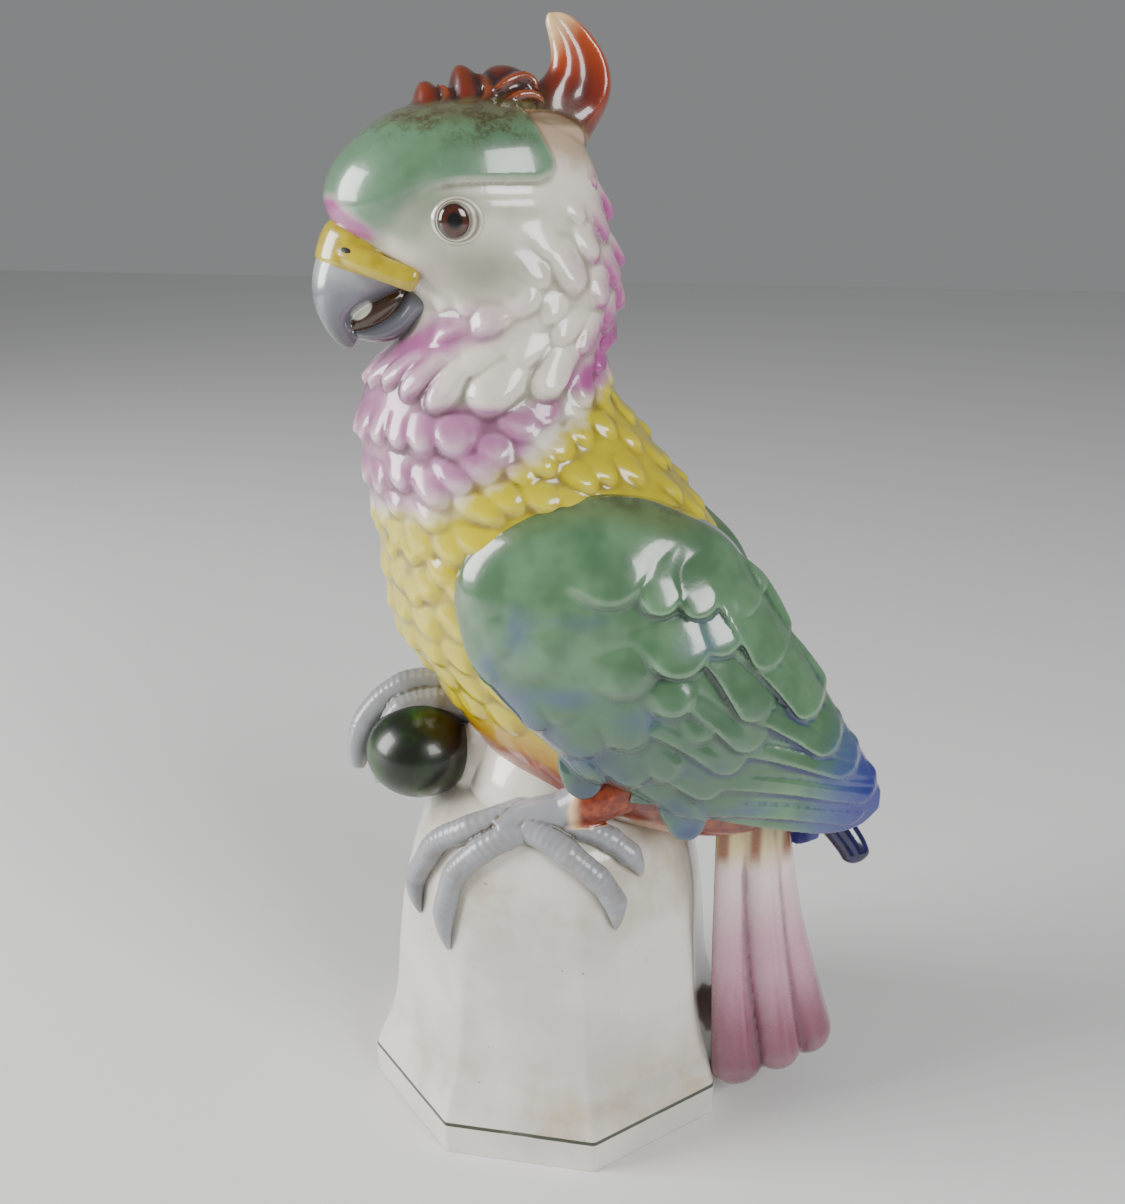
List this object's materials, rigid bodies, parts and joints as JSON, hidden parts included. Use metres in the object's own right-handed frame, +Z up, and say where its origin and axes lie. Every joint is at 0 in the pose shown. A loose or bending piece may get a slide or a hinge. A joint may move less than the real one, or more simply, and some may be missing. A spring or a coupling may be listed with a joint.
{
  "type": "porcelain parrot figurine",
  "caption": "Glazed porcelain parrot with a raised crest, standing on an eight-sided pedestal and clasping a round nut in one foot.",
  "frame": {"origin": "middle of the pedestal's flat underside", "axes": "+Z up; the bird's body faces -X, its left side, the one the picture shows, is towards -Y, and its tail is towards +X"},
  "size_m": [0.1939, 0.1308, 0.3809],
  "materials": {
    "glazed_porcelain": "glossy glaze over hand-painted colours"
  },
  "bodies": {
    "root": {"parrot_figurine": "glazed_porcelain"}
  },
  "joints": []
}
